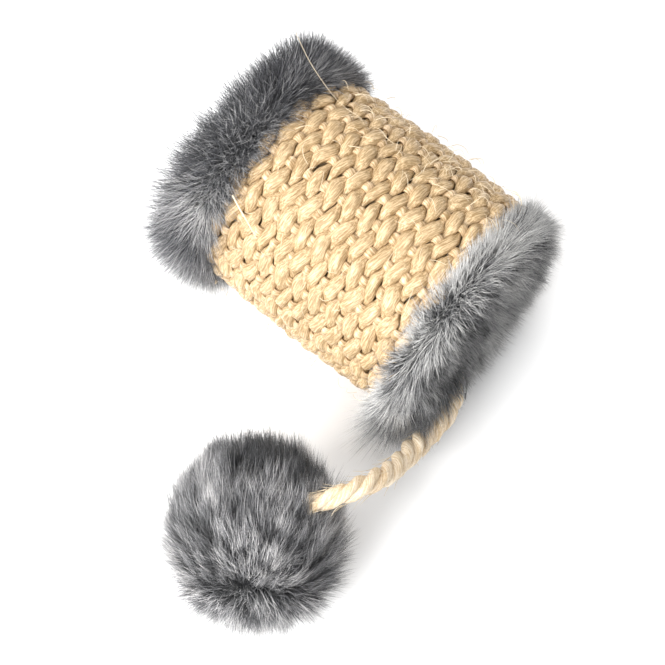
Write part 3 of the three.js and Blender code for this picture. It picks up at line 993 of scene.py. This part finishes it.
plain_fur = fur_finish(
    "plain_end_fur", root=(0.01, 0.011, 0.014, 1), middle=(0.12, 0.122, 0.135, 1),
    tip=(0.58, 0.57, 0.56, 1), patch_size=14 * MM, shift=-0.2,
)
rope_fur = fur_finish(
    "rope_end_fur", root=(0.02, 0.021, 0.023, 1), middle=(0.26, 0.26, 0.265, 1),
    tip=(0.66, 0.65, 0.63, 1), patch_size=16 * MM, shift=0.14,
)
band_facets = 96
plain_end, rope_end = -1, 1
# The far side is painted darker at the plain end and paler at the rope end, as painted shade and light
plain_far_painted_shade, rope_far_painted_shade = -0.08, 0.1

# Plain end: short dark plush that curls. Painted light pales one place on top, and painted shade
# darkens it at the far top, low down and at the rim.
plain_painted_shading = [(30, 130, 10, 0.12), (34, 58, 16, -0.2), (30, 172, 8, -0.2)]
plain_band = band_profile(half_tube - plain_band_width, sweep=0.06, rim_painted_shade=-0.38, rim_share=1.15)
plain_band_cloth = turned_cloth(
    "plain_band_cloth", plain_band, band_facets, plain_end, plain_far_painted_shade, plain_painted_shading,
)
grown("plain_band_pile", plain_band_cloth, plain_fur, "plain_end_fur", "barrel", {
    "Density": whole_density * 0.88, "Length": 9.6 * MM, "Seed": 11,
    "Spread": 0.55, "Tuft Size": 1.8 * MM, "Tuft Pull": 0.2, "Tuft Lean": 0.15, "Curl": 3.2 * MM,
}, ["plain_end_fur_band"])
grown("plain_band_long_pile", plain_band_cloth, plain_fur, "plain_end_fur", "barrel", {
    "Density": long_density, "Length": 10.6 * MM, "Seed": 31, "Thickness": 0.075 * MM, "Tone": 0.3,
    "Spread": 0.6, "Tuft Size": 1.8 * MM, "Tuft Pull": 0.15, "Tuft Lean": 0.15, "Curl": 4.4 * MM,
    "Cloth Shown": False,
})

# Rope end: paler pile swept back down both sides, with painted shade in the clefts near the whorl
# and low down, and painted light in its middle.
rope_painted_shading = [
    (40, 102, 3, -0.3), (41, 118, 4, -0.2), (41.5, 86, 4, -0.2), (36, 108, 12, 0.25), (38, 165, 16, -0.22),
]
rope_band = band_profile(half_tube - rope_band_width, sweep=0.9, rim_painted_shade=0, rim_share=0.95)
rope_band_cloth = turned_cloth(
    "rope_band_cloth", rope_band, band_facets, rope_end, rope_far_painted_shade, rope_painted_shading,
)
grown("rope_band_pile", rope_band_cloth, rope_fur, "rope_end_fur", "barrel", {
    "Density": whole_density, "Length": 7.2 * MM, "Seed": 51, "Tuft Pull": 0.35, "Curl": 3.2 * MM,
}, ["rope_end_fur_band"])
grown("rope_band_long_pile", rope_band_cloth, rope_fur, "rope_end_fur", "barrel", {
    "Density": long_density, "Length": 8.4 * MM, "Seed": 71, "Thickness": 0.08 * MM, "Tone": 0.3,
    "Spread": 0.45, "Tuft Pull": 0.25, "Curl": 4.0 * MM, "Cloth Shown": False,
})


# Fur caps: round panels of the same cloths over the two ends. Their pile stands straight out in the
# middle and fans out at the rim, where it meets the band's.
cap_face = end_face + cloth_thickness
cap_middle = 0.02
cap_edge = mat_inner_radius - 2 * seat_gap
cap_facets = 64
# The rim rows are painted a little darker, as painted shade
cap_profile = [
    cloth_row(end_face, cap_middle, (1, 0)),
    cloth_row(cap_face, cap_middle, (1, 0), 1),
    cloth_row(cap_face, 5, (1, 0.02), 1),
    cloth_row(cap_face, 12, (1, 0.06), 1),
    cloth_row(cap_face, 19, (1, 0.12), 1),
    cloth_row(cap_face, 25, (0.97, 0.25), 1, painted_shade=-0.05),
    cloth_row(cap_face - 0.1, 28.5, (0.9, 0.45), 1, painted_shade=-0.1),
    cloth_row(cap_face - 0.5, 29.6, (0.8, 0.6), 0.95, painted_shade=-0.1),
    cloth_row(end_face, cap_edge, (1, 0)),
]
plain_cap_shadow = (41.5, 118, 30, -0.4)
plain_cap_cloth = turned_cloth(
    "plain_cap_cloth", cap_profile, cap_facets, plain_end, plain_far_painted_shade, [*plain_painted_shading, plain_cap_shadow],
)
grown("plain_cap_pile", plain_cap_cloth, plain_fur, "plain_end_fur", "barrel", {
    "Density": cap_density, "Length": 8.6 * MM, "Seed": 91,
}, ["plain_end_fur_cap"])
rope_cap_cloth = turned_cloth(
    "rope_cap_cloth", cap_profile, cap_facets, rope_end, rope_far_painted_shade, rope_painted_shading,
)
grown("rope_cap_pile", rope_cap_cloth, rope_fur, "rope_end_fur", "barrel", {
    "Density": cap_density, "Length": 6.8 * MM, "Seed": 111,
}, ["rope_end_fur_cap"])


# Fur ball. A cover of grey fur cloth, gathered round the rope and bound with thread, round a
# stuffing of white wadding in which the rope's end is knotted.
ball_low, ball_high = (np.array(corner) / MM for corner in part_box("ball_filling"))
ball_middle = (ball_low + ball_high) / 2
filling_radius = 18.5
cover_skin = filling_radius + seat_gap + cloth_thickness
cover_rings = 40
# The way that the ball's pile is brushed. It is left as it grows at the far pole, and brushed fully
# from a little before it. The painted shading darkens places on top and at the sides and lightens the
# middle, as painted shade and light: a direction, its spread, a shade.
ball_brushing = np.array((-0.59, 0.72, 0.36))
unbrushed_pole = -0.97
brushing_rise = 3
brushing_strength = 0.85
neck_clearance = 2.8
ball_painted_shading = [
    ((-0.57, 0.66, 0.5), 0.3, -1.2),
    ((-0.07, 0.69, 0.72), 0.1, -0.5),
    ((0.27, 0.75, 0.61), 0.15, -0.5),
    ((-0.56, 0.11, 0.82), 0.03, -0.4),
    ((0.82, 0.01, 0.57), 0.04, -0.5),
    ((-0.2, -0.2, 0.95), 0.25, 0.05),
    ((0.17, 0.34, 0.93), 0.05, 0.25),
]


def ball_cloth():
    """The cover's cloth as a closed hollow ball, its pile radial"""
    ring = 2 * cover_rings
    verts, faces, pile = [], [], []
    for radius, share in ((cover_skin, 1.0), (cover_skin - cloth_thickness, 0.0)):
        start = len(verts)
        verts.append((0, 0, radius))
        for i in range(1, cover_rings):
            polar = math.pi * i / cover_rings
            for j in range(ring):
                turn_round = math.tau * j / ring
                verts.append((
                    radius * math.sin(polar) * math.cos(turn_round),
                    radius * math.sin(polar) * math.sin(turn_round),
                    radius * math.cos(polar),
                ))
        verts.append((0, 0, -radius))
        pile += [share] * (len(verts) - start)
        bands = []
        for j in range(ring):
            after = (j + 1) % ring
            bands.append((start, start + 1 + j, start + 1 + after))
            for i in range(cover_rings - 2):
                a = start + 1 + i * ring
                bands.append((a + j, a + ring + j, a + ring + after, a + after))
            a = start + 1 + (cover_rings - 2) * ring
            bands.append((a + j, len(verts) - 1, a + after))
        faces += bands if share else [face[::-1] for face in bands]
    points = np.array(verts, float)
    away = points / np.linalg.norm(points, axis=1)[:, None]
    facing_brush = (away @ ball_brushing)[:, None]
    brushing = np.clip((facing_brush - unbrushed_pole) * brushing_rise, 0, 1)
    brushed = (ball_brushing - away * facing_brush) * brushing * brushing_strength
    # Painted light and shade on the pile, from the ball's painted shading
    painted_shade = sum(
        depth * np.exp(-((away - way) ** 2).sum(axis=1) / spread) for way, spread, depth in ball_painted_shading
    )
    mesh = bpy.data.meshes.new("ball_cloth")
    mesh.from_pydata([tuple((p + ball_middle) * MM) for p in points], [], faces)
    keep_pile(mesh, away, brushed, pile, painted_shade, np.ones(len(verts)))
    return mesh


ball_fur = fur_finish(
    "ball_fur", root=(0.01, 0.011, 0.013, 1), middle=(0.23, 0.23, 0.24, 1),
    tip=(0.78, 0.76, 0.75, 1), patch_size=15 * MM, shift=0.04,
)
ball_cover = grown("ball_pile", ball_cloth(), ball_fur, "ball_fur", "ball", {
    "Density": 7.4e6, "Length": 9 * MM, "Seed": 131, "Thickness": 0.075 * MM,
    "Tuft Size": 2.2 * MM, "Tuft Pull": 0.5, "Tuft Lean": 0.3, "Curl": 3.4 * MM, "Tone": -0.05,
    "Rope Clearance": neck_clearance * MM,
}, ["ball_fur_cover"])

# The ball's stuffing, white polyester wadding
wadding_finish, wadding_tree, wadding_shader = new_finish("wadding", 0.9)
wadding_place = node(wadding_tree, "ShaderNodeTexCoord", out="Object")
wadding_tuft = noise(wadding_place, 400.0, 6.0, 0.7)
wadding_colour = mixed(wadding_tuft, (0.72, 0.71, 0.68, 1), (0.92, 0.91, 0.89, 1))
dress(wadding_tree, wadding_shader, wadding_colour, wadding_tuft, 1.5 * MM)
refinish("ball_filling", wadding_finish)

# The dark thread round the ball's neck
thread_finish, thread_tree, thread_shader = new_finish("thread", 0.6)
thread_place = node(thread_tree, "ShaderNodeTexCoord", out="Object")
thread_twist = node(
    thread_tree, "ShaderNodeTexWave", {"Vector": thread_place, "Scale": 900.0, "Distortion": 1.0},
)
thread_colour = mixed(thread_twist, (0.015, 0.016, 0.02, 1), (0.05, 0.052, 0.06, 1))
dress(thread_tree, thread_shader, thread_colour)
refinish("ball_neck_thread", thread_finish)
